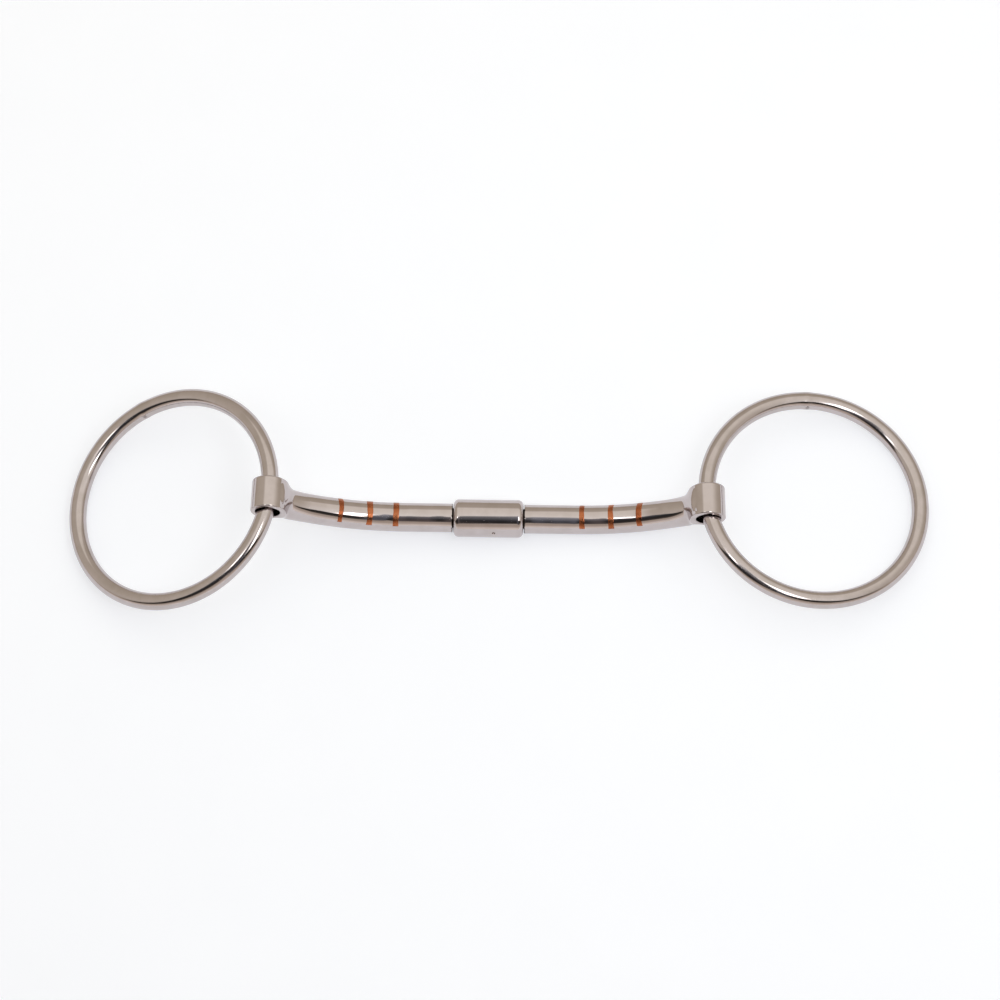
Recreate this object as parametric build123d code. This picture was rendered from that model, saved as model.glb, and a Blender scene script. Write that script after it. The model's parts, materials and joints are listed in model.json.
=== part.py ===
"""Loose-ring snaffle bit with a curved, barrel-jointed mouthpiece and copper inlays.

Millimetres, +Z up. The bit lies on the ground as it does when it is put down: the barrel
and the outer edge of each ring touch z = 0, and the mouthpiece runs along X, left ring at
-X. The two sides are built once, in a side frame whose x runs outwards from the middle of
the barrel along its axis, and the left one is the mirror image.
"""
import os
from math import asin, cos, degrees, radians, sin, sqrt

from build123d import *

# Mouthpiece: a 5 inch mouth, measured between the two collar bores
MOUTH_WIDTH = 127.0
CANNON_RADIUS = 4.25
STRAIGHT_TO = 25.0
BEND_RADIUS = 68.0
BEND_ANGLE = 24.0
END_BEND_RADIUS = 29.0

# Collar (the eye that the ring runs through), its bore turned a little from y to suit the ring
COLLAR_RADIUS = 5.05
COLLAR_LENGTH = 9.8
COLLAR_EDGE = 0.6
COLLAR_SKEW = 1.5
BORE_RADIUS = 3.6
BORE_EDGE = 0.25
BLEND_RADIUS = 2.2

# Barrel and what it holds
BARREL_RADIUS = 5.55
BARREL_LENGTH = 20.4
BARREL_EDGE = 1.5
BARREL_BORE_RADIUS = 3.95
ARM_GAP = 0.3
ARM_EDGE = 0.15
VENT_RADIUS = 0.45
VENT_X = 1.6
VENT_ABOVE_FRONT = 17.0
BUSH_RECESS = 0.2
BUSH_LENGTH = 4.8
SPIGOT_RADIUS = 2.8
SPIGOT_ROOT = 1.0
RUNNING_CLEARANCE = 0.05
END_FLOAT = 0.2
JOURNAL_FACE = BARREL_LENGTH / 2 - BUSH_RECESS - BUSH_LENGTH - END_FLOAT
DOG_RADIUS = 3.75
DOG_THICKNESS = 1.4
LUG_INNER_RADIUS = 2.75
LUG_PAST_MIDDLE = 1.2
LUG_ANGLE = 118.0
TENON_RADIUS = 2.1
TENON_FLAT = 1.5
RIVET_RADIUS = 2.6
RIVET_HEIGHT = 0.8

# Copper inlays, let into the top of the cannon; they were set by hand, so the sides differ
INLAY_NAMES = ("inner", "middle", "outer")
INLAY_X = {"left": (27.05, 35.05, 43.9), "right": (27.4, 36.25, 44.9)}
INLAY_WIDTH = 1.8
INLAY_DEPTH = 0.6
INLAY_ANGLE = 120.0

# Rings: round wire, butt welded
RING_RADIUS = 31.75
WIRE_RADIUS = 2.54
WELD_SWELL = 0.1
WELD_ANGLE = 5.0
WELD_AT = {"left": 62.0, "right": 85.5}

# Liner that stands in for the play between the ring and the collar bore
LINER_RADIUS = 3.0
LINER_WALL = 0.2
LINER_LENGTH = 5.0

# How it lies: the mouthpiece rocks a little on the barrel, and each ring has slid as far
# back in its bore as the play allows
ROCK = 3.4
RING_SLEW = 7.2
RING_LEAN = {"left": 1.0, "right": -2.4}
MIDDLE_X = 2.0
MIDDLE_Y = 4.0
MOST_DROP = 45.0
DROP_STEPS = 40

SIDES = ("left", "right")


def mouth_path():
    """Centre line of one cannon, from the barrel to the middle of the collar, as (x, z)."""
    start = Line((BARREL_LENGTH / 2 + ARM_GAP, 0), (STRAIGHT_TO, 0))
    bend = JernArc(start @ 1, start % 1, BEND_RADIUS, BEND_ANGLE)
    bend_end = bend @ 1
    reach = (MOUTH_WIDTH / 2 - bend_end.X) / END_BEND_RADIUS
    end_angle = degrees(asin(sin(radians(BEND_ANGLE)) + reach)) - BEND_ANGLE
    end_bend = JernArc(bend_end, bend % 1, END_BEND_RADIUS, end_angle)
    return Plane.XZ * (start + bend + end_bend)


def collar_centre():
    """Middle of the collar bore in the side frame."""
    return mouth_path() @ 1


def sector(inner, outer, middle, angle):
    """Flat ring sector centred on the direction middle, in degrees."""
    outside = CenterArc((0, 0), outer, middle - angle / 2, angle)
    inside = CenterArc((0, 0), inner, middle - angle / 2, angle)
    edges = [outside, Line(outside @ 1, inside @ 1), inside, Line(inside @ 0, outside @ 0)]
    return make_face(edges)


def across(x):
    """Plane square to the barrel axis at x, its own axes along row Y and Z."""
    return Plane((x, 0, 0), x_dir=(0, 1, 0), z_dir=(1, 0, 0))


def disc(x_low, x_high, radius):
    """Solid of revolution along the barrel axis."""
    return extrude(across(x_low) * Circle(radius), x_high - x_low)


def inlays(side):
    """The copper bands of one side by their names."""
    return {name: inlay(x) for name, x in zip(INLAY_NAMES, INLAY_X[side])}


def inlay(x):
    """One copper band at x, bent with the cannon, in the top of the bar."""
    half_turn = degrees(INLAY_WIDTH / 2 / BEND_RADIUS)
    turn = degrees(asin((x - STRAIGHT_TO) / BEND_RADIUS))
    bend_centre = (STRAIGHT_TO, 0, BEND_RADIUS)
    band = sector(CANNON_RADIUS - INLAY_DEPTH, CANNON_RADIUS, 90, INLAY_ANGLE)
    axis = Axis(bend_centre, (0, -1, 0))
    start = (across(STRAIGHT_TO) * band).rotate(axis, turn - half_turn)
    return revolve(start, axis, 2 * half_turn)


def spigot():
    """Turned end of the arm: journal, tenon with a flat, and the riveted head."""
    tenon_end = JOURNAL_FACE - DOG_THICKNESS
    journal = disc(JOURNAL_FACE, BARREL_LENGTH / 2 + ARM_GAP + SPIGOT_ROOT, SPIGOT_RADIUS)
    tenon = disc(tenon_end, JOURNAL_FACE, TENON_RADIUS) - tenon_flat(tenon_end, JOURNAL_FACE)
    head = disc(tenon_end - RIVET_HEIGHT, tenon_end, RIVET_RADIUS)
    head = fillet(head.edges().filter_by(GeomType.CIRCLE).sort_by(Axis.X)[0], RIVET_HEIGHT / 2)
    return journal + tenon + head


def tenon_flat(x_low, x_high):
    """Block whose lower side is the tenon's flat."""
    size = 2 * TENON_RADIUS
    length = x_high - x_low
    return Pos((x_low + x_high) / 2, 0, TENON_FLAT + size / 2) * Box(length, size, size)


def stop_dog(side):
    """Washer keyed to the tenon, with a lug that meets the other arm's lug."""
    low = JOURNAL_FACE - DOG_THICKNESS
    plate = disc(low, JOURNAL_FACE, DOG_RADIUS)
    plate -= disc(low, JOURNAL_FACE, TENON_RADIUS) - tenon_flat(low, JOURNAL_FACE)
    middle = {"left": -90, "right": 90}[side]
    lug = across(-LUG_PAST_MIDDLE) * sector(LUG_INNER_RADIUS, DOG_RADIUS, middle, LUG_ANGLE)
    return plate + extrude(lug, low + LUG_PAST_MIDDLE)


def bore_place():
    """Place of the bore, whose axis is y, in the side frame."""
    return Pos(collar_centre()) * Rot(0, 0, COLLAR_SKEW)


def bore():
    """Cutter for the collar bore."""
    return bore_place() * Rot(-90, 0, 0) * Cylinder(BORE_RADIUS, 2 * COLLAR_LENGTH)


def collar():
    """The eye for the ring, rounded on its rims and at the mouths of its bore."""
    wall = COLLAR_RADIUS - BORE_RADIUS
    section = Pos(BORE_RADIUS + wall / 2, 0) * Rectangle(wall, COLLAR_LENGTH)
    section = fillet(section.vertices().group_by(Axis.X)[-1], COLLAR_EDGE)
    section = fillet(section.vertices().group_by(Axis.X)[0], BORE_EDGE)
    return bore_place() * revolve(section, Axis.Y)


def mouth_arm(side):
    """Cannon, collar and spigot: one casting, slotted for the inlays of that side."""
    path = mouth_path()
    section = Plane(path @ 0, x_dir=(0, 1, 0), z_dir=path % 0) * Circle(CANNON_RADIUS)
    cannon = sweep(section, path)
    cannon = fillet(cannon.edges().sort_by(Axis.X)[0], ARM_EDGE)
    body = cannon - bore() + collar()
    seam = [e for e in body.edges() if e.geom_type == GeomType.BSPLINE]
    body = fillet(seam, BLEND_RADIUS)
    body += spigot()
    for band in inlays(side).values():
        body -= band
    return body


def barrel_sleeve():
    """Turned sleeve with rounded ends and a vent hole in its front."""
    half = BARREL_LENGTH / 2
    body = disc(-half, half, BARREL_RADIUS)
    body = fillet(body.edges().filter_by(GeomType.CIRCLE), BARREL_EDGE)
    body -= disc(-half, half, BARREL_BORE_RADIUS)
    drill = Pos(0, -BARREL_RADIUS, 0) * Rot(90, 0, 0) * Cylinder(VENT_RADIUS, BARREL_RADIUS)
    body -= Pos(VENT_X, 0, 0) * Rot(-VENT_ABOVE_FRONT, 0, 0) * drill
    return body


def end_bush():
    """Bearing bush in the end of the barrel."""
    high = BARREL_LENGTH / 2 - BUSH_RECESS
    low = high - BUSH_LENGTH
    return disc(low, high, BARREL_BORE_RADIUS) - disc(low, high, SPIGOT_RADIUS + RUNNING_CLEARANCE)


def ring(side):
    """Round-wire ring about its own centre, with the slight swelling of its butt weld."""
    body = Torus(RING_RADIUS, WIRE_RADIUS)
    section = Plane.XZ * Pos(RING_RADIUS, 0) * Circle(WIRE_RADIUS + WELD_SWELL)
    weld = revolve(section, Axis.Z, WELD_ANGLE)
    return body + weld.rotate(Axis.Z, WELD_AT[side] - WELD_ANGLE / 2)


def liner():
    """Thin sleeve round the wire inside the bore, its axis along y."""
    wall = Circle(LINER_RADIUS) - Circle(LINER_RADIUS - LINER_WALL)
    return Plane.XZ * extrude(wall, LINER_LENGTH / 2, both=True)


def barrel_height():
    """Height of the barrel axis, with the rocked barrel standing on its rounded end."""
    flat = BARREL_LENGTH / 2 - BARREL_EDGE
    rock = radians(ROCK)
    return flat * sin(rock) + (BARREL_RADIUS - BARREL_EDGE) * cos(rock) + BARREL_EDGE


def rest():
    """Place of the mouthpiece on the ground."""
    return Pos(-MIDDLE_X, -MIDDLE_Y, barrel_height()) * Rot(0, ROCK, 0)


def collar_height(side):
    """Height of the collar bore above the ground."""
    sign = {"left": -1, "right": 1}[side]
    centre = Vector(sign * collar_centre().X, 0, collar_centre().Z)
    return (rest() * Pos(centre)).position.Z


def ring_drop(side):
    """Angle below the barrel axis at which the ring's outer edge meets the ground."""
    height = collar_height(side)
    slew = radians(RING_SLEW)
    lean = radians(RING_LEAN[side])
    low, high = 0.0, radians(MOST_DROP)
    for _ in range(DROP_STEPS):
        drop = (low + high) / 2
        centre = -sin(drop) * cos(slew) + cos(drop) * sin(slew) * sin(lean)
        reach = sqrt(1 - (cos(drop) * cos(lean)) ** 2)
        if height + RING_RADIUS * (centre - reach) > WIRE_RADIUS:
            low = drop
        else:
            high = drop
    return degrees(drop) + {"left": ROCK, "right": -ROCK}[side]


def ring_place(side):
    """Place of the wire in the collar, in the side frame: x outwards along the ring."""
    turn = Rot(0, ring_drop(side), 0) * Rot(RING_LEAN[side], 0, 0) * Rot(0, 0, RING_SLEW)
    return Pos(collar_centre()) * turn


def to_side(shape, side):
    """Put a piece of one side where it lies."""
    if side == "left":
        shape = mirror(shape, about=Plane.YZ)
    return rest() * shape


def build():
    """Every piece by its node name."""
    nodes = {"barrel_sleeve": rest() * barrel_sleeve()}
    for side in SIDES:
        wire = ring_place(side)
        nodes[f"{side}_end_bush"] = to_side(end_bush(), side)
        nodes[f"{side}_stop_dog"] = to_side(stop_dog(side), side)
        nodes[f"{side}_mouth_arm"] = to_side(mouth_arm(side), side)
        for name, band in inlays(side).items():
            nodes[f"{side}_inlay_{name}"] = to_side(band, side)
        nodes[f"{side}_bore_liner"] = to_side(wire * liner(), side)
        nodes[f"{side}_ring"] = to_side(wire * Pos(RING_RADIUS, 0, 0) * ring(side), side)
    return nodes


def main():
    """Write one STEP file for each piece."""
    os.makedirs("parts", exist_ok=True)
    for name, shape in build().items():
        shape.label = name
        export_step(shape, f"parts/{name}.step")


if __name__ == "__main__":
    main()
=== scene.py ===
"""Looks of the loose-ring snaffle bit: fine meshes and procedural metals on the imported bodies.

Metres throughout, +Z up. Each side is modelled in its own side frame, whose x runs outwards
from the middle of the barrel along its axis; side_matrix() puts it where the joints say.
"""
import json
from functools import partial
from math import asin, cos, hypot, pi, radians, sin, tau

import bpy
import numpy as np
from mathutils import Matrix, Vector


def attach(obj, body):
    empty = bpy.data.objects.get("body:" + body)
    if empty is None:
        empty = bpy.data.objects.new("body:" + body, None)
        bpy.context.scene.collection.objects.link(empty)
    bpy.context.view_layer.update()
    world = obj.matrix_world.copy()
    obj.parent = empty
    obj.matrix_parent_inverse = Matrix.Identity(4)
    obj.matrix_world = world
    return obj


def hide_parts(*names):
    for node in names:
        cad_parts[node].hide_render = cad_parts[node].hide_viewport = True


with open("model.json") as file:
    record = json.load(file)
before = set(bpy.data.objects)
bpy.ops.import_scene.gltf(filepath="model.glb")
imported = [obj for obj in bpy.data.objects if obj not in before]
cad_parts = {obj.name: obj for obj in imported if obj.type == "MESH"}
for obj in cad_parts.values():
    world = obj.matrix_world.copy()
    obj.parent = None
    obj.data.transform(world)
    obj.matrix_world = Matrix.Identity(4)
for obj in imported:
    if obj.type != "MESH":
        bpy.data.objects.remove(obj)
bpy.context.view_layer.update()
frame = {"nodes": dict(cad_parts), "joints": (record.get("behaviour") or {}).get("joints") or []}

JOINTS = {joint["name"]: joint for joint in frame["joints"]}
SIDES = ("left", "right")
MM = 0.001
SEED = 7

# Mouthpiece, in its side frame
CANNON_RADIUS = 4.25 * MM
CANNON_START = 10.5 * MM
STRAIGHT_TO = 25.0 * MM
BEND_RADIUS = 68.0 * MM
BEND_ANGLE = radians(24.0)
END_BEND_RADIUS = 29.0 * MM
COLLAR_X = 63.5 * MM
ARM_EDGE = 0.15 * MM
COLLAR_RADIUS = 5.05 * MM
COLLAR_HALF = 4.9 * MM
COLLAR_EDGE = 0.6 * MM
COLLAR_SKEW = radians(1.5)
BORE_RADIUS = 3.6 * MM
BORE_EDGE = 0.25 * MM
CANNON_END = 3.0 * MM
FLARE = 0.25 * MM
FLARE_LENGTH = 6.0 * MM
WEB_RADIUS = 2.4 * MM
WEB_RADIUS_FAR = 3.0 * MM
WEB_RADIUS_LEAST = 0.4 * MM
WEB_FROM = -5.2 * MM
WEB_TO = -1.2 * MM
WEB_REACH = 12.0 * MM
WEB_EDGE = 0.25 * MM
JOURNAL_RADIUS = 2.8 * MM
JOURNAL_START = 5.0 * MM
ARM_STEP = 0.3 * MM
ARM_ROUNDS = 4

# Painted shade in the gaps between the arms and the barrel, in the collar's bore and in the vent, and a
# darkened patch at the ring's nib: 0 for clean metal and 1 for none of it showing, and how far it reaches
DARKENING_COLOUR = (0.05, 0.035, 0.028)
DARKENING_ROUGHNESS = 0.6
GAP_SHADE_REACH = 0.12 * MM
BORE_SHADE = 0.15
BORE_SHADE_FROM = 0.25 * MM
BORE_SHADE_FADE = 0.2 * MM
BARREL_END_SHADE = 0.8
VENT_SHADE = 0.15
VENT_SHADE_FROM = 0.2 * MM
VENT_SHADE_FADE = 0.3 * MM
VENT_SHADE_REACH = 4.0 * MM
NIB_DARKENING = 0.5

# Small creases that the casting kept where the cannon runs into the web
CREASE = {
    "left": ((58.3 * MM, -2.4 * MM, 15.9 * MM), (57.3 * MM, -0.6 * MM, 14.7 * MM)),
    "right": ((60.6 * MM, -4.2 * MM, 17.7 * MM), (59.6 * MM, -3.2 * MM, 17.3 * MM)),
}
CREASE_DEPTH = 0.09 * MM
CREASE_WIDTH = 0.45 * MM

# Copper inlays
INLAY_NAMES = ("inner", "middle", "outer")
INLAY_X = {"left": (27.05 * MM, 35.05 * MM, 43.9 * MM), "right": (27.4 * MM, 36.25 * MM, 44.9 * MM)}
INLAY_WIDTH = 1.8 * MM
INLAY_DEPTH = 0.5 * MM
INLAY_PROUD = 0.03 * MM
INLAY_HALF_ANGLE = radians(60.0)
INLAY_WOBBLE = 0.17 * MM
INLAY_REACH_SPREAD = (0.97, 1.05)
INLAY_WIDTH_SPREAD = (0.92, 1.12)
INLAY_SUNK = 0.02 * MM
INLAY_TAPER = 0.96
INLAY_AROUND = 48
INLAY_ACROSS = 10

# Barrel
BARREL_RADIUS = 5.55 * MM
BARREL_HALF = 10.2 * MM
BARREL_EDGE = 1.5 * MM
BARREL_BORE = 3.95 * MM
BARREL_LIP = 0.1 * MM
BARREL_STEPS = 120
VENT_RADIUS = 0.45 * MM
VENT_DEPTH = 0.5 * MM
VENT_SOFT = 0.1 * MM
VENT_REACH = 0.8 * MM
VENT_COUNT = 27
VENT_X = 1.6 * MM
VENT_ABOVE_FRONT = radians(17.0)

# Rings
RING_RADIUS = 31.75 * MM
WIRE_RADIUS = 2.54 * MM
WELD_SWELL = 0.1 * MM
WELD_WIDTH = radians(2.2)
WELD_AT = {"left": radians(118.0), "right": radians(-94.5)}
NIB_HEIGHT = 0.05 * MM
NIB_WIDTH = 0.6 * MM
NIB_AROUND = radians(168.0)
RING_STEPS = 420
WIRE_STEPS = 56
WELD_REACH = radians(3.0)
WELD_COUNT = 29
NIB_REACH = radians(35.0)
NIB_COUNT = 17

# Camera: a long lens looking down on the bit
CAMERA_ELEVATION = radians(67.538)
CAMERA_AZIMUTH = radians(9.456)
CAMERA_ROLL = radians(-9.139)
CAMERA_DISTANCE = 1.06227
CAMERA_TARGET = Vector((0.001239, 0.002147, 0.0053))
CAMERA_LENS = 130.347

# Studio: a sheet of floor that glows a little, a lit tent, and pale surroundings past them
FLOOR_RADIUS = 3.0
FLOOR_DARK = (0.55, 0.57, 0.61)
FLOOR_LIGHT = (0.56, 0.58, 0.62)
FLOOR_MOTTLE = 40.0
FLOOR_GLOW = 0.57
FLOOR_GLOW_COLOUR = (0.94, 0.96, 1.0)
TENT_RADIUS = 0.6
LAMP_COLOUR = (5.0, 5.0, 4.9)
WORLD_COLOUR = (0.86, 0.86, 0.87)


# ---------------------------------------------------------------- frame helpers
def joint_point(name):
    return Vector(JOINTS[name]["pos_m"])


def joint_axis(name):
    return Vector(JOINTS[name]["axis"]).normalized()


BARREL_CENTRE = joint_point("left_arm_twist")
BARREL_AXIS = joint_axis("left_arm_twist")


def columns(x, y, z, origin):
    """4x4 matrix with these axes and origin."""
    return Matrix.Translation(origin) @ Matrix((x, y, z)).transposed().to_4x4()


def side_matrix(side):
    """From a side frame to the row frame; the left one is a mirror image."""
    sign = {"left": -1.0, "right": 1.0}[side]
    depth = Vector((0.0, 1.0, 0.0))
    return columns(sign * BARREL_AXIS, depth, BARREL_AXIS.cross(depth), BARREL_CENTRE)


def ring_matrix(side):
    """From a ring's own frame, z its axis and x towards its collar, to the row frame."""
    centre = joint_point(f"{side}_ring_slip")
    axis = joint_axis(f"{side}_ring_slip")
    if axis.z < 0:
        axis = -axis
    inward = joint_point(f"{side}_ring_swing") - centre
    inward = (inward - inward.dot(axis) * axis).normalized()
    return columns(inward, axis.cross(inward), axis, centre)


def new_object(name, points, faces):
    """Mesh object, linked into the scene."""
    mesh = bpy.data.meshes.new(name)
    mesh.from_pydata(points, [], faces)
    made = bpy.data.objects.new(name, mesh)
    bpy.context.scene.collection.objects.link(made)
    return made


def grid_faces(rows, columns, round_rows=True, round_columns=True):
    """Quads between points laid out row after row, which may close into a round either way."""
    faces = []
    for j in range(rows if round_rows else rows - 1):
        for i in range(columns if round_columns else columns - 1):
            a, b, k = j * columns, (j + 1) % rows * columns, (i + 1) % columns
            faces.append((a + i, b + i, b + k, a + k))
    return faces


def add_piece(name, points, faces, place, body, replaced, normals=None, painted_shade_and_nib_darkening=None):
    """Make a smooth-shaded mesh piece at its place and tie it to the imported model."""
    mirrored = place.determinant() < 0
    rotation = np.array(place.to_3x3())
    world = np.asarray(points) @ rotation.T + np.array(place.translation)
    quads = [tuple(reversed(f)) for f in faces] if mirrored else [tuple(f) for f in faces]
    piece = new_object(name, world.tolist(), quads)
    mesh = piece.data
    mesh.shade_smooth()
    if normals is not None:
        mesh.normals_split_custom_set_from_vertices((np.asarray(normals) @ rotation.T).tolist())
    # The per-point values stored as a mesh attribute are painted shade in gaps and hollows, and a darkened
    # patch at the ring's nib
    if painted_shade_and_nib_darkening is not None:
        mesh.attributes.new("painted_shade_and_nib_darkening", "FLOAT", "POINT").data.foreach_set("value", np.asarray(painted_shade_and_nib_darkening, float))
    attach(piece, body)
    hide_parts(replaced)
    return piece


# ---------------------------------------------------------------- surface from a distance field
def gradient(distance, points):
    """Unit direction in which the distance grows."""
    step = 0.002 * MM
    parts = []
    for axis in range(3):
        shift = np.zeros(3)
        shift[axis] = step
        parts.append(distance(points + shift) - distance(points - shift))
    slope = np.stack(parts, -1) / (2 * step)
    return slope / np.linalg.norm(slope, axis=-1, keepdims=True)


def on_surface(distance, points):
    """Move points onto the surface where the distance is nought."""
    for _ in range(5):
        points = points - distance(points)[:, None] * gradient(distance, points)
    return points


def surface_net(distance, low, high, step):
    """Quad mesh of the surface where the distance is nought, on a grid of this step."""
    axes = [np.arange(a, b + step, step) for a, b in zip(low, high)]
    grid = np.stack(np.meshgrid(*axes, indexing="ij"), -1)
    inside = distance(grid) < 0
    corners = sum(
        inside[i:inside.shape[0] - 1 + i, j:inside.shape[1] - 1 + j, k:inside.shape[2] - 1 + k].astype(int)
        for i in (0, 1) for j in (0, 1) for k in (0, 1))
    mixed = (corners > 0) & (corners < 8)
    index = np.full(mixed.shape, -1)
    index[mixed] = np.arange(mixed.sum())
    points = (np.argwhere(mixed) + 0.5) * step + np.array(low)
    faces = []
    for axis in range(3):
        second, third = (axis + 1) % 3, (axis + 2) % 3
        lower = np.take(inside, range(inside.shape[axis] - 1), axis)
        upper = np.take(inside, range(1, inside.shape[axis]), axis)
        for outward, crossing in ((True, lower & ~upper), (False, upper & ~lower)):
            at = np.argwhere(crossing)
            around = []
            for down_second, down_third in ((1, 1), (0, 1), (0, 0), (1, 0)):
                cell = at.copy()
                cell[:, second] -= down_second
                cell[:, third] -= down_third
                around.append(index[tuple(cell.T)])
            quads = np.stack(around, -1)
            faces.append(quads if outward else quads[:, ::-1])
    return points, np.concatenate(faces)


def relax(distance, points, faces, rounds):
    """Even out the quads, keeping every point on the surface."""
    edges = np.sort(np.concatenate([faces[:, [i, (i + 1) % 4]] for i in range(4)]), axis=1)
    edges = np.unique(edges, axis=0)
    a, b = edges.T
    count = np.bincount(np.concatenate([a, b]), minlength=len(points))
    for _ in range(rounds):
        total = np.zeros_like(points)
        np.add.at(total, a, points[b])
        np.add.at(total, b, points[a])
        points = on_surface(distance, total / count[:, None])
    return points


# ---------------------------------------------------------------- mouth arms
BEND_END_X = STRAIGHT_TO + BEND_RADIUS * sin(BEND_ANGLE)
BEND_END_Z = BEND_RADIUS * (1 - cos(BEND_ANGLE))
END_CENTRE_X = BEND_END_X - END_BEND_RADIUS * sin(BEND_ANGLE)
END_CENTRE_Z = BEND_END_Z + END_BEND_RADIUS * cos(BEND_ANGLE)
END_ANGLE = asin((COLLAR_X - END_CENTRE_X) / END_BEND_RADIUS)
COLLAR_Z = END_CENTRE_Z - END_BEND_RADIUS * cos(END_ANGLE)

# The cannon's centre line stops a little short of the middle of the collar
STOP_ANGLE = END_ANGLE - CANNON_END / END_BEND_RADIUS
STOP_X = END_CENTRE_X + END_BEND_RADIUS * sin(STOP_ANGLE)
STOP_Z = END_CENTRE_Z - END_BEND_RADIUS * cos(STOP_ANGLE)


def path_distance(x, z):
    """Distance in the plane y = 0 from the cannon's centre line, signed upwards."""
    bend_angle = np.arctan2(x - STRAIGHT_TO, BEND_RADIUS - z)
    bend = BEND_RADIUS - np.hypot(x - STRAIGHT_TO, z - BEND_RADIUS)
    end_angle = np.arctan2(x - END_CENTRE_X, END_CENTRE_Z - z)
    end = END_BEND_RADIUS - np.hypot(x - END_CENTRE_X, z - END_CENTRE_Z)
    past = np.hypot(x - STOP_X, z - STOP_Z)
    curved = np.where(bend_angle < BEND_ANGLE, bend, np.where(end_angle < STOP_ANGLE, end, past))
    return np.where(x < STRAIGHT_TO, z, curved)


def round_union(a, b, radius):
    """Union of two distances with a fillet of this radius, which may vary, between them."""
    fillet = np.hypot(np.maximum(radius - a, 0), np.maximum(radius - b, 0))
    return np.maximum(radius, np.minimum(a, b)) - fillet


def round_cut(a, b, radius):
    """What is inside a and outside b, with the edge rounded."""
    return -round_union(-a, b, radius)


def rod(p, x_low, x_high, radius):
    """Distance from a round rod along x."""
    along = np.abs(p[..., 0] - (x_low + x_high) / 2) - (x_high - x_low) / 2
    across = np.hypot(p[..., 1], p[..., 2]) - radius
    return np.maximum(along, across)


def from_segment(p, start, end):
    """Distance from a straight line between two points."""
    start, end = np.array(start), np.array(end)
    share = np.clip((p - start) @ (end - start) / ((end - start) @ (end - start)), 0, 1)
    return np.linalg.norm(p - start - share[..., None] * (end - start), axis=-1)


def arm_distance(p, side):
    """Distance from the arm: cannon, collar with its bore, and journal."""
    x, y, z = p[..., 0], p[..., 1], p[..., 2]
    outward = (x - COLLAR_X) * cos(COLLAR_SKEW) + y * sin(COLLAR_SKEW)
    widen = FLARE * np.clip((outward + COLLAR_RADIUS + FLARE_LENGTH) / FLARE_LENGTH, 0, 1) ** 2
    tube = np.hypot(path_distance(x, z), y) - CANNON_RADIUS - widen
    cannon = round_cut(tube, x - CANNON_START, ARM_EDGE)
    along = y * cos(COLLAR_SKEW) - (x - COLLAR_X) * sin(COLLAR_SKEW)
    from_bore = np.hypot(outward, z - COLLAR_Z)
    over = np.maximum(from_bore - COLLAR_RADIUS + COLLAR_EDGE, 0)
    past = np.maximum(np.abs(along) - COLLAR_HALF + COLLAR_EDGE, 0)
    core = np.maximum(from_bore - COLLAR_RADIUS, np.abs(along) - COLLAR_HALF) + COLLAR_EDGE
    collar = np.minimum(core, 0) + np.hypot(over, past) - COLLAR_EDGE
    fade = np.clip((outward - WEB_FROM) / (WEB_TO - WEB_FROM), 0, 1)
    widest = WEB_RADIUS + (WEB_RADIUS_FAR - WEB_RADIUS) * np.clip(along / CANNON_RADIUS, 0, 1)
    web = widest + (WEB_RADIUS_LEAST - widest) * fade * fade * (3 - 2 * fade)
    body = round_union(cannon, collar, web)
    trimmed = round_cut(body, COLLAR_HALF + 0.3 * WEB_EDGE - np.abs(along), WEB_EDGE)
    body = np.where(outward > -WEB_REACH, trimmed, body)
    body = round_cut(body, from_bore - BORE_RADIUS, BORE_EDGE)
    body = body + CREASE_DEPTH * np.exp(-(from_segment(p, *CREASE[side]) / CREASE_WIDTH) ** 2)
    return np.minimum(body, rod(p, JOURNAL_START, CANNON_START + MM, JOURNAL_RADIUS))


def mouth_arm(side):
    """Fine mesh of the arm in its side frame, put in its place."""
    margin = 2 * ARM_STEP
    low = (JOURNAL_START - margin, -COLLAR_HALF - margin, -CANNON_RADIUS - margin)
    high = (COLLAR_X + COLLAR_RADIUS + margin, COLLAR_HALF + margin, COLLAR_Z + COLLAR_RADIUS + margin)
    distance = partial(arm_distance, side=side)
    points, faces = surface_net(distance, low, high, ARM_STEP)
    points = relax(distance, on_surface(distance, points), faces, ARM_ROUNDS)
    normals = gradient(distance, points)
    # Painted shade: the arm's end at the gap to the barrel, and the journal inside the barrel, are
    # darkened
    painted_gap_shade = np.clip((CANNON_START + GAP_SHADE_REACH - points[:, 0]) / GAP_SHADE_REACH, 0, 1)
    # Painted shade on the wall of the collar's bore
    from_bore = np.hypot(points[:, 0] - COLLAR_X, points[:, 2] - COLLAR_Z)
    painted_bore_shade = np.clip((BORE_RADIUS + BORE_SHADE_FROM - from_bore) / BORE_SHADE_FADE, 0, BORE_SHADE)
    return add_piece(f"{side}_arm_surface", points, faces, side_matrix(side), f"{side}_arm",
                     f"{side}_mouth_arm", normals, np.maximum(painted_gap_shade, painted_bore_shade))


# ---------------------------------------------------------------- copper inlays
def wobble(rng, t, waves=(1, 2, 3, 5)):
    """Smooth random line over t from 0 to 1, about -1 to 1."""
    total = sum(rng.uniform(0.3, 1.0) / wave * np.sin(wave * tau * t * 0.8 + rng.uniform(0, tau))
                for wave in waves)
    return total / 1.3


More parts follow.
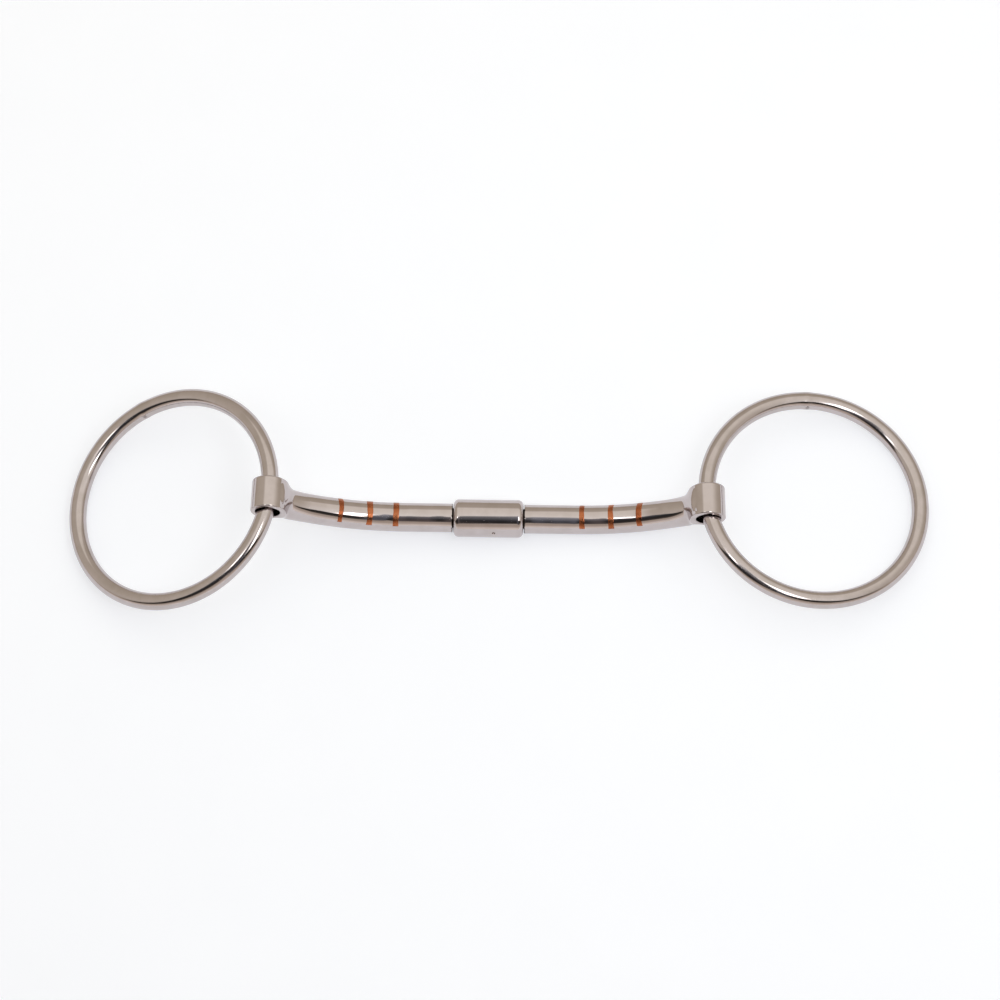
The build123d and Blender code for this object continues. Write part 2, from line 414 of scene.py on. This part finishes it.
def inlay(side, name, x, rng):
    """Copper band with hand-brazed, wavy edges, bent with the cannon."""
    turn = asin((x - STRAIGHT_TO) / BEND_RADIUS)
    width = INLAY_AROUND + 1
    t = np.linspace(0, 1, width)
    angle = (2 * t - 1) * INLAY_HALF_ANGLE * rng.uniform(*INLAY_REACH_SPREAD)
    half = INLAY_WIDTH / 2 * rng.uniform(*INLAY_WIDTH_SPREAD)
    edges = [-half + INLAY_WOBBLE * wobble(rng, t), half + INLAY_WOBBLE * wobble(rng, t)]
    rows = []
    for share in np.linspace(0, 1, INLAY_ACROSS + 1):
        along = edges[0] * (1 - share) + edges[1] * share
        edge = min(share, 1 - share) * 2
        crown = INLAY_PROUD * (1 - (1 - edge) ** 4) - INLAY_SUNK * (edge == 0)
        rows.append((along, crown))
    rows.append((edges[1] * INLAY_TAPER, -INLAY_DEPTH))
    rows.append((edges[0] * INLAY_TAPER, -INLAY_DEPTH))
    points = []
    for along, height in rows:
        bend = turn + along / BEND_RADIUS
        radius = CANNON_RADIUS + height
        up = radius * np.cos(angle)
        points.append(np.stack([
            STRAIGHT_TO + (BEND_RADIUS - up) * np.sin(bend),
            radius * np.sin(angle),
            BEND_RADIUS - (BEND_RADIUS - up) * np.cos(bend)], -1))
    points = np.concatenate(points)
    count = len(rows)
    faces = grid_faces(count, width, round_columns=False)
    faces.append([j * width for j in reversed(range(count))])
    faces.append([j * width + INLAY_AROUND for j in range(count)])
    return add_piece(f"{side}_copper_{name}", points, faces, side_matrix(side), f"{side}_arm",
                     f"{side}_inlay_{name}")


# ---------------------------------------------------------------- barrel
def finer(values, centre, reach, count):
    """Sorted positions with an even run of finer ones within reach of the centre."""
    coarse = [v for v in values if abs(v - centre) > reach]
    return np.array(sorted(coarse + list(np.linspace(centre - reach, centre + reach, count))))


def barrel_end():
    """The lip and the rounded corner at one end of the sleeve, as (x, radius)."""
    corner = [(BARREL_HALF - BARREL_EDGE * (1 - cos(a)), BARREL_RADIUS - BARREL_EDGE * (1 - sin(a)))
              for a in np.linspace(0, pi / 2, 15)]
    lip = [(BARREL_HALF - BARREL_LIP * (1 - sin(a)), BARREL_BORE + BARREL_LIP * (1 - cos(a)))
           for a in np.linspace(0, pi / 2, 4)]
    return lip, corner


def barrel():
    """Turned sleeve with rounded ends and a small vent hole in its front."""
    lip, corner = barrel_end()
    flat = BARREL_HALF - BARREL_EDGE
    inner = [(x, BARREL_BORE) for x in np.linspace(lip[0][0], -lip[0][0], 12)[1:-1]]
    places = finer(np.linspace(-flat, flat, 40)[1:-1], VENT_X, VENT_REACH, VENT_COUNT)
    body = [(x, BARREL_RADIUS) for x in places]
    right = lip + corner
    left = [(-x, r) for x, r in reversed(right)]
    outline = right + body[::-1] + left + inner[::-1]
    vent_angle = tau * 3 / 4 + VENT_ABOVE_FRONT
    turns = np.arange(BARREL_STEPS) * tau / BARREL_STEPS
    angles = finer(turns, vent_angle, VENT_REACH / BARREL_RADIUS, VENT_COUNT)
    points = []
    for x, r in outline:
        off = np.hypot(x - VENT_X, BARREL_RADIUS * (angles - vent_angle))
        drilled = np.clip((VENT_RADIUS + VENT_SOFT / 2 - off) / VENT_SOFT, 0, 1)
        radii = r - VENT_DEPTH * drilled * (r == BARREL_RADIUS)
        points += [(x, q * sin(a), q * cos(a)) for q, a in zip(radii, angles)]
    faces = [(a, d, c, b) for a, b, c, d in grid_faces(len(outline), len(angles))]
    along = np.abs([x for x, y, z in points])
    radii = np.array([hypot(y, z) for x, y, z in points])
    # Painted shade at both ends of the sleeve, by the gaps to the arms
    from_end = (along - BARREL_HALF + GAP_SHADE_REACH) / GAP_SHADE_REACH
    painted_end_shade = np.clip(from_end, 0, BARREL_END_SHADE)
    # Painted shade in the vent: deep points near the middle of the sleeve are darkened
    deep = np.clip((BARREL_RADIUS - VENT_SHADE_FROM - radii) / VENT_SHADE_FADE, 0, VENT_SHADE)
    painted_vent_shade = deep * (along < VENT_SHADE_REACH)
    return add_piece("barrel_surface", points, faces, side_matrix("right"), "barrel",
                     "barrel_sleeve", None, np.maximum(painted_end_shade, painted_vent_shade))


# ---------------------------------------------------------------- rings
def ring(side):
    """Round-wire ring with the slight swelling and nib left by its butt weld."""
    weld = WELD_AT[side] % tau
    turn = finer(np.arange(RING_STEPS) * tau / RING_STEPS, weld, WELD_REACH, WELD_COUNT)
    around = finer(np.arange(WIRE_STEPS) * tau / WIRE_STEPS, NIB_AROUND, NIB_REACH, NIB_COUNT)
    turn, around = np.meshgrid(turn, around, indexing="ij")
    off = turn - weld
    nib = np.hypot(off * RING_RADIUS, (around - NIB_AROUND) * WIRE_RADIUS)
    # The nib's patch of wire is darkened
    nib_patch = np.exp(-(nib / NIB_WIDTH) ** 4)
    radius = WIRE_RADIUS + WELD_SWELL * np.exp(-(off / WELD_WIDTH) ** 2) + NIB_HEIGHT * nib_patch
    out = RING_RADIUS + radius * np.cos(around)
    points = np.stack([out * np.cos(turn), out * np.sin(turn), radius * np.sin(around)], -1)
    faces = grid_faces(*turn.shape)
    return add_piece(f"{side}_ring_surface", points.reshape(-1, 3), faces, ring_matrix(side),
                     f"{side}_ring", f"{side}_ring", None, NIB_DARKENING * nib_patch.ravel())


# ---------------------------------------------------------------- materials
class Nodes:
    """A node tree with short ways to add and join nodes."""

    def __init__(self, tree):
        self.tree = tree

    def add(self, kind, **settings):
        node = self.tree.nodes.new(kind)
        for key, value in settings.items():
            setattr(node, key, value)
        return node

    def join(self, source, target):
        self.tree.links.new(source, target)

    def math(self, operation, a, b=0.0, c=0.0):
        node = self.add("ShaderNodeMath", operation=operation)
        for socket, value in zip(node.inputs, (a, b, c)):
            if isinstance(value, (int, float)):
                socket.default_value = value
            else:
                self.join(value, socket)
        return node.outputs[0]

    def ramp(self, factor, stops):
        node = self.add("ShaderNodeValToRGB")
        while len(node.color_ramp.elements) < len(stops):
            node.color_ramp.elements.new(0.5)
        for element, (position, colour) in zip(node.color_ramp.elements, stops):
            element.position = position
            element.color = (*colour, 1.0) if isinstance(colour, tuple) else (colour, colour, colour, 1.0)
        self.join(factor, node.inputs[0])
        return node.outputs[0]

    def range(self, value, low, high, to_low=0.0, to_high=1.0, smooth=True):
        node = self.add("ShaderNodeMapRange", interpolation_type="SMOOTHSTEP" if smooth else "LINEAR")
        node.inputs["From Min"].default_value = low
        node.inputs["From Max"].default_value = high
        node.inputs["To Min"].default_value = to_low
        node.inputs["To Max"].default_value = to_high
        self.join(value, node.inputs["Value"])
        return node.outputs["Result"]

    def mix(self, factor, a, b):
        node = self.add("ShaderNodeMix", data_type="RGBA")
        for socket, value in zip((node.inputs[0], node.inputs[6], node.inputs[7]), (factor, a, b)):
            if isinstance(value, tuple):
                socket.default_value = (*value, 1.0)
            else:
                self.join(value, socket)
        return node.outputs[2]

    def plus(self, a, b):
        node = self.add("ShaderNodeVectorMath", operation="ADD")
        self.join(a, node.inputs[0])
        self.join(b, node.inputs[1])
        return node.outputs[0]

    def noise(self, scale, detail=3.0, stretch=(1.0, 1.0, 1.0)):
        """Noise over the piece's own coordinates; scale is in features per metre."""
        where = self.add("ShaderNodeTexCoord")
        mapping = self.add("ShaderNodeMapping")
        mapping.inputs["Scale"].default_value = stretch
        self.join(where.outputs["Object"], mapping.inputs["Vector"])
        node = self.add("ShaderNodeTexNoise")
        node.inputs["Scale"].default_value = scale
        node.inputs["Detail"].default_value = detail
        self.join(mapping.outputs["Vector"], node.inputs["Vector"])
        return node.outputs["Fac"]

    def bump(self, height, distance, strength=1.0, normal=None):
        node = self.add("ShaderNodeBump")
        node.inputs["Strength"].default_value = strength
        node.inputs["Distance"].default_value = distance
        self.join(height, node.inputs["Height"])
        if normal is not None:
            self.join(normal, node.inputs["Normal"])
        return node.outputs["Normal"]


# Noise scales of the metals, in features per metre
PATCHES = 260.0
GLOSS = 900.0
POLISH_WAVES = 170.0
HAIRLINES = 3500.0


def new_material(name):
    """Material with the tree of nodes it starts from."""
    material = bpy.data.materials.new(name)
    material.use_nodes = True
    return material, Nodes(material.node_tree)


def metal(name, light, dark, rough, wave, scratch, stretch=(1.0, 1.0, 1.0)):
    """Worked metal: colour and gloss vary in patches, the polish waves and has hairlines.

    wave and scratch are the heights of those two, and stretch draws the grain out along an axis.
    """
    material, nodes = new_material(name)
    shader = nodes.tree.nodes["Principled BSDF"]
    shader.inputs["Metallic"].default_value = 1.0
    patches = nodes.noise(PATCHES, 4.0)
    clean = nodes.ramp(patches, [(0.35, dark), (0.62, light)])
    # Base colour is mixed towards the dark colour by the mesh's attribute: painted shade in gaps and
    # hollows, and a darkened patch at the ring's nib; the gloss is dulled there too
    painted_shade_and_nib_darkening = nodes.add("ShaderNodeAttribute", attribute_name="painted_shade_and_nib_darkening").outputs["Fac"]
    nodes.join(nodes.mix(painted_shade_and_nib_darkening, clean, DARKENING_COLOUR), shader.inputs["Base Color"])
    gloss = nodes.range(nodes.noise(GLOSS, 5.0, stretch), 0.3, 0.7, *rough)
    dull = nodes.math("MULTIPLY", painted_shade_and_nib_darkening, DARKENING_ROUGHNESS)
    nodes.join(nodes.math("MAXIMUM", gloss, dull), shader.inputs["Roughness"])
    polish = nodes.bump(nodes.noise(POLISH_WAVES, 0.0), wave)
    hairlines = nodes.bump(nodes.noise(HAIRLINES, 3.0, stretch), scratch, 1.0, polish)
    nodes.join(hairlines, shader.inputs["Normal"])
    return material


def paint(piece, material):
    piece.data.materials.clear()
    piece.data.materials.append(material)


# ---------------------------------------------------------------- light, floor, camera
def between(nodes, value, low, high, soft):
    """1 between two limits, each a number or a socket, falling off softly past them."""
    above = nodes.range(nodes.math("SUBTRACT", value, low), -soft, soft)
    below = nodes.range(nodes.math("SUBTRACT", high, value), -soft, soft)
    return nodes.math("MULTIPLY", above, below)


def streak(nodes, front, side, start, end, width, soft):
    """1 along a slanting band of the tent between two (side, front) points in degrees."""
    (s0, f0), (s1, f1) = start, end
    length = hypot(s1 - s0, f1 - f0)
    along_side, along_front = (s1 - s0) / length, (f1 - f0) / length
    from_side = nodes.math("SUBTRACT", side, s0)
    from_front = nodes.math("SUBTRACT", front, f0)
    along = nodes.math("ADD", nodes.math("MULTIPLY", from_side, along_side),
                       nodes.math("MULTIPLY", from_front, along_front))
    across = nodes.math("SUBTRACT", nodes.math("MULTIPLY", from_side, along_front),
                        nodes.math("MULTIPLY", from_front, along_side))
    return nodes.math("MULTIPLY", between(nodes, along, 0.0, length, soft),
                      between(nodes, across, -width, width, soft))


def tent_glow(nodes):
    """Colour of the tent by its front and side angles from overhead, in degrees."""
    where = nodes.add("ShaderNodeTexCoord")
    unit = nodes.add("ShaderNodeVectorMath", operation="NORMALIZE")
    nodes.join(where.outputs["Object"], unit.inputs[0])
    split = nodes.add("ShaderNodeSeparateXYZ")
    nodes.join(unit.outputs[0], split.inputs[0])
    x, y, z = split.outputs
    front = nodes.math("DEGREES", nodes.math("ARCTAN2", nodes.math("MULTIPLY", y, -1.0), z))
    side = nodes.math("DEGREES", nodes.math("ARCSINE", x))

    # Cloth walls, darkest low down at the back and brightest by the ground in front
    spread = nodes.range(front, -100.0, 100.0, smooth=False)
    walls = nodes.ramp(spread, [
        (0.02, (0.70, 0.65, 0.57)), (0.08, (0.56, 0.50, 0.41)), (0.20, (0.61, 0.55, 0.46)),
        (0.35, (0.67, 0.61, 0.51)), (0.50, (0.73, 0.67, 0.58)), (0.62, (0.74, 0.69, 0.61)),
        (0.80, (0.56, 0.48, 0.41)), (0.86, (0.66, 0.58, 0.50)), (0.90, (0.95, 0.88, 0.80)),
        (0.95, (1.08, 1.03, 0.97))])

    # Bright sheet overhead
    from_left = nodes.range(side, -32.0, -19.0)
    from_right = nodes.range(nodes.math("SUBTRACT", 64.0, side), 0.0, 38.0)
    above = nodes.math("MULTIPLY", from_left, from_right)
    overhead = nodes.math("MULTIPLY", above, between(nodes, front, -45.0, 51.0, 5.0))
    ceiling = nodes.ramp(nodes.range(front, -50.0, 10.0, smooth=False), [
        (0.0, (0.99, 0.94, 0.83)), (0.6, (1.07, 1.03, 0.93)), (1.0, (1.16, 1.14, 1.07))])
    lit = nodes.mix(overhead, walls, ceiling)

    # Dark slot across the front; its two edges wander, and are ramps of the angle over 100 degrees
    over = nodes.range(side, -70.0, 70.0, smooth=False)
    top = nodes.math("MULTIPLY", 100.0, nodes.ramp(over, [
        (0.0, 0.52), (0.057, 0.44), (0.18, 0.32), (0.28, 0.20), (0.37, 0.22), (0.42, 0.15),
        (0.464, 0.12), (0.486, 0.15), (0.50, 0.15), (0.511, 0.09), (0.521, 0.08), (0.536, 0.045),
        (0.56, 0.04), (0.586, 0.36), (0.736, 0.32), (0.80, 0.38), (0.93, 0.46), (1.0, 0.55)]))
    foot = nodes.math("MULTIPLY", 100.0, nodes.ramp(over, [
        (0.0, 0.52), (0.07, 0.62), (0.29, 0.60), (0.464, 0.56), (0.50, 0.55), (0.511, 0.52),
        (0.524, 0.52), (0.543, 0.575), (0.7, 0.58), (0.93, 0.57), (1.0, 0.52)]))
    slot = between(nodes, front, top, foot, 1.8)
    depth = nodes.ramp(nodes.range(front, 5.0, 60.0, smooth=False), [
        (0.0, (0.50, 0.51, 0.52)), (0.18, (0.24, 0.245, 0.26)), (0.38, (0.12, 0.125, 0.135)),
        (0.55, (0.035, 0.035, 0.038)), (0.8, (0.045, 0.04, 0.036)), (1.0, (0.14, 0.12, 0.10))])
    haze = nodes.ramp(over, [
        (0.44, (0.0, 0.0, 0.0)), (0.475, (0.09, 0.075, 0.075)), (0.493, (0.09, 0.075, 0.075)),
        (0.507, (0.0, 0.0, 0.0)), (0.522, (0.0, 0.0, 0.0)), (0.538, (0.10, 0.11, 0.135)),
        (0.565, (0.10, 0.11, 0.135)), (0.60, (0.0, 0.0, 0.0))])
    opened = nodes.mix(slot, lit, nodes.plus(depth, haze))

    # Two lamps seen past the sheet
    right_light = streak(nodes, front, side, (13.0, 22.0), (25.5, 20.0), 11.0, 2.0)
    left_light = streak(nodes, front, side, (-11.0, 14.0), (-21.5, 20.0), 3.5, 2.0)
    first = nodes.mix(right_light, opened, LAMP_COLOUR)
    return nodes.mix(left_light, first, LAMP_COLOUR)


def studio():
    """Lit tent over the bit, with a dark slot for the lens; only reflections and light show it."""
    around = 96
    up = 32
    points = [(TENT_RADIUS * cos(b) * cos(a), TENT_RADIUS * cos(b) * sin(a), TENT_RADIUS * sin(b))
              for b in np.linspace(0, pi / 2, up, endpoint=False)
              for a in np.arange(around) * tau / around]
    points.append((0.0, 0.0, TENT_RADIUS))
    faces = grid_faces(up, around, round_rows=False)
    top = (up - 1) * around
    faces += [(top + i, len(points) - 1, top + (i + 1) % around) for i in range(around)]
    tent = new_object("tent", points, faces)
    tent.data.shade_smooth()
    tent.visible_camera = False
    material, nodes = new_material("tent_cloth")
    nodes.tree.nodes.remove(nodes.tree.nodes["Principled BSDF"])
    glow = nodes.add("ShaderNodeEmission")
    nodes.join(tent_glow(nodes), glow.inputs["Color"])
    nodes.join(glow.outputs[0], nodes.tree.nodes["Material Output"].inputs["Surface"])
    material.cycles.emission_sampling = "NONE"
    paint(tent, material)

    world = bpy.data.worlds.new("surroundings")
    world.use_nodes = True
    bpy.context.scene.world = world
    background = world.node_tree.nodes["Background"]
    background.inputs["Color"].default_value = (*WORLD_COLOUR, 1.0)
    background.inputs["Strength"].default_value = 1.0


def floor():
    """Plain pale floor, a round sheet with a faint mottle."""
    steps = 96
    rings = (0.4, 1.2, FLOOR_RADIUS)
    points = [(0.0, 0.0, 0.0)]
    for radius in rings:
        points += [(radius * cos(a), radius * sin(a), 0.0) for a in np.arange(steps) * tau / steps]
    faces = [(0, 1 + i, 1 + (i + 1) % steps) for i in range(steps)]
    faces += [[1 + k for k in quad] for quad in grid_faces(len(rings), steps, round_rows=False)]
    sheet = new_object("floor", points, faces)
    material, nodes = new_material("floor_paper")
    shader = nodes.tree.nodes["Principled BSDF"]
    mottle = nodes.ramp(nodes.noise(FLOOR_MOTTLE, 2.0), [(0.3, FLOOR_DARK), (0.7, FLOOR_LIGHT)])
    nodes.join(mottle, shader.inputs["Base Color"])
    shader.inputs["Roughness"].default_value = 1.0
    shader.inputs["Specular IOR Level"].default_value = 0.0
    shader.inputs["Emission Color"].default_value = (*FLOOR_GLOW_COLOUR, 1.0)
    shader.inputs["Emission Strength"].default_value = FLOOR_GLOW
    paint(sheet, material)


def camera():
    """Long lens above the bit, turned and rolled a little."""
    e, a = CAMERA_ELEVATION, CAMERA_AZIMUTH
    back = Vector((sin(a) * cos(e), -cos(a) * cos(e), sin(e)))
    data = bpy.data.cameras.new("camera")
    data.lens = CAMERA_LENS
    data.sensor_width = 36.0
    data.clip_start = 0.05
    eye = bpy.data.objects.new("camera", data)
    eye.location = CAMERA_TARGET + back * CAMERA_DISTANCE
    eye.rotation_mode = "QUATERNION"
    roll = Matrix.Rotation(CAMERA_ROLL, 3, "Z")
    eye.rotation_quaternion = ((-back).to_track_quat("-Z", "Y").to_matrix() @ roll).to_quaternion()
    bpy.context.scene.collection.objects.link(eye)
    bpy.context.scene.camera = eye


def build():
    """Make every piece and paint it, with the few that keep their CAD shape."""
    cast = metal("polished_casting", light=(0.53, 0.475, 0.475), dark=(0.50, 0.445, 0.44),
                 rough=(0.04, 0.08), wave=0.10 * MM, scratch=0.0005 * MM, stretch=(0.3, 1.0, 1.0))
    steel = metal("polished_steel", light=(0.53, 0.475, 0.475), dark=(0.50, 0.445, 0.44),
                  rough=(0.04, 0.08), wave=0.012 * MM, scratch=0.0005 * MM, stretch=(0.3, 1.0, 1.0))
    wire = metal("polished_wire", light=(0.52, 0.465, 0.465), dark=(0.48, 0.43, 0.42),
                 rough=(0.08, 0.14), wave=0.004 * MM, scratch=0.0006 * MM)
    copper = metal("inlaid_copper", light=(0.44, 0.150, 0.066), dark=(0.30, 0.088, 0.036),
                   rough=(0.16, 0.34), wave=0.02 * MM, scratch=0.002 * MM)
    bronze = metal("bearing_bronze", light=(0.60, 0.42, 0.20), dark=(0.45, 0.30, 0.14),
                   rough=(0.3, 0.5), wave=0.004 * MM, scratch=0.002 * MM, stretch=(4.0, 1.0, 1.0))
    # Painted shade: the bore liner and stop dog get a darker, duller steel than the outside, standing in
    # for the shade in the hollows they sit in
    inner = metal("inner_steel_painted_shade", light=(0.36, 0.33, 0.32), dark=(0.26, 0.24, 0.23),
                  rough=(0.3, 0.5), wave=0.004 * MM, scratch=0.002 * MM, stretch=(4.0, 1.0, 1.0))
    rng = np.random.default_rng(SEED)
    paint(barrel(), steel)
    for side in SIDES:
        paint(mouth_arm(side), cast)
        paint(ring(side), wire)
        for name, x in zip(INLAY_NAMES, INLAY_X[side]):
            paint(inlay(side, name, x, rng), copper)
        paint(frame["nodes"][f"{side}_end_bush"], bronze)
        paint(frame["nodes"][f"{side}_stop_dog"], inner)
        paint(frame["nodes"][f"{side}_bore_liner"], inner)


build()
studio()
floor()
camera()
bpy.context.scene.view_settings.view_transform = "Standard"
